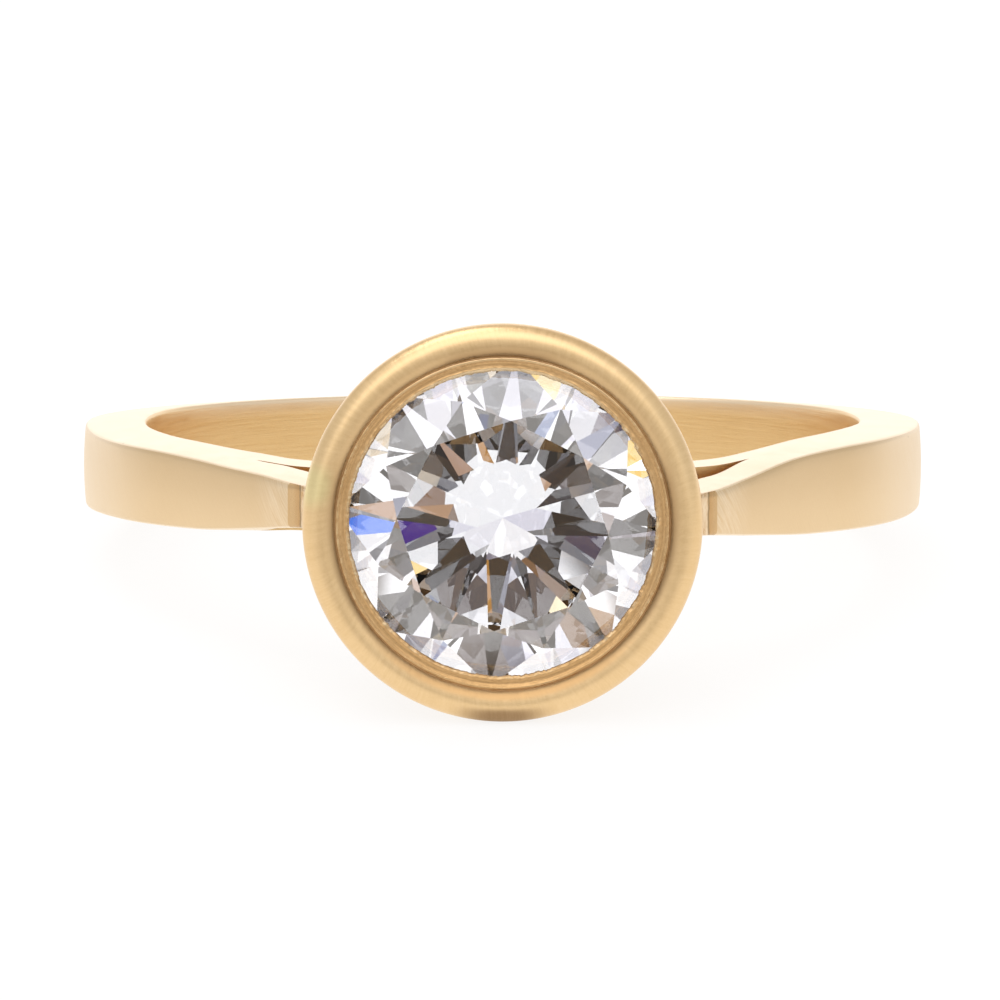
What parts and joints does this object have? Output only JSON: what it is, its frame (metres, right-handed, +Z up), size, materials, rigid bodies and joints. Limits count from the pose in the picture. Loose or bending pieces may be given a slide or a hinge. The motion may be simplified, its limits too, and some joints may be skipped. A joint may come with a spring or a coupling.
{
  "type": "diamond solitaire ring with a bezel setting",
  "caption": "Finger ring with a tapered satin gold band, cathedral shoulders and a round domed bezel that holds one round brilliant stone.",
  "frame": {"origin": "middle of the ring's outline on the ground, as it lies on its side", "axes": "+Z up from the ground, -Y towards the front, which the stone faces, tipped up by the resting angle, +X to the right seen from the front"},
  "size_m": [0.0192, 0.0232, 0.0086],
  "materials": {
    "gold": "satin yellow gold with fine brushing",
    "stone": "polished, clear, faceted"
  },
  "bodies": {
    "root": {"ring_mount": "gold", "diamond": "stone"}
  },
  "joints": []
}
